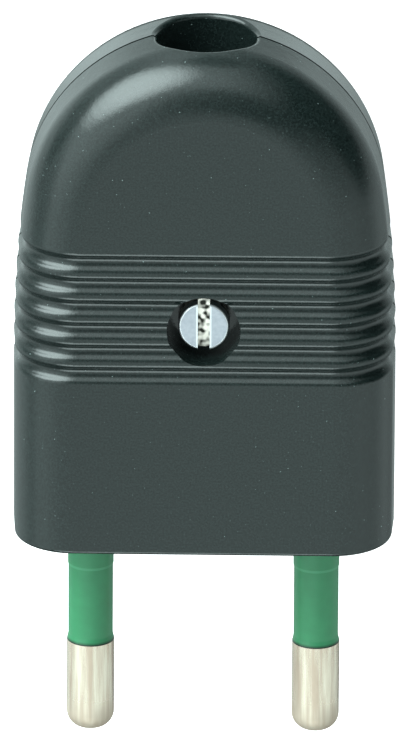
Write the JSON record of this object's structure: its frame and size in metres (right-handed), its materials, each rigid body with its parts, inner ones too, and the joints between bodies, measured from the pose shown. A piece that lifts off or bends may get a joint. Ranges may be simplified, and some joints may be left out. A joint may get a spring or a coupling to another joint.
{
  "type": "two-pin plug",
  "caption": "Rewirable mains plug with an arch-shaped moulded body in halves, a ribbed grip, sleeved round pins, a slotted closing screw and a round cable entry.",
  "frame": {"origin": "under the middle of the plug, in the plane of its rear face, on which it lies", "axes": "+X to the right pin seen from the front with the pins down, +Y from the pins to the cable entry, +Z from the rear face to the front face"},
  "size_m": [0.032, 0.0628, 0.016],
  "materials": {
    "body_plastic": "moulded, glossy",
    "pin_metal": "turned and nickel plated",
    "sleeve_plastic": "moulded, satin",
    "zinc_steel": "zinc plated",
    "clamp_plastic": "moulded"
  },
  "bodies": {
    "root": {"front_shell": "body_plastic", "rear_shell": "body_plastic", "closing_screw": "zinc_steel", "closing_nut": "zinc_steel", "pin_left": "pin_metal", "pin_right": "pin_metal", "sleeve_left": "sleeve_plastic", "sleeve_right": "sleeve_plastic", "terminal_screw_left": "zinc_steel", "terminal_screw_right": "zinc_steel", "cord_clamp": "clamp_plastic", "clamp_screw_left": "zinc_steel", "clamp_screw_right": "zinc_steel"}
  },
  "joints": []
}
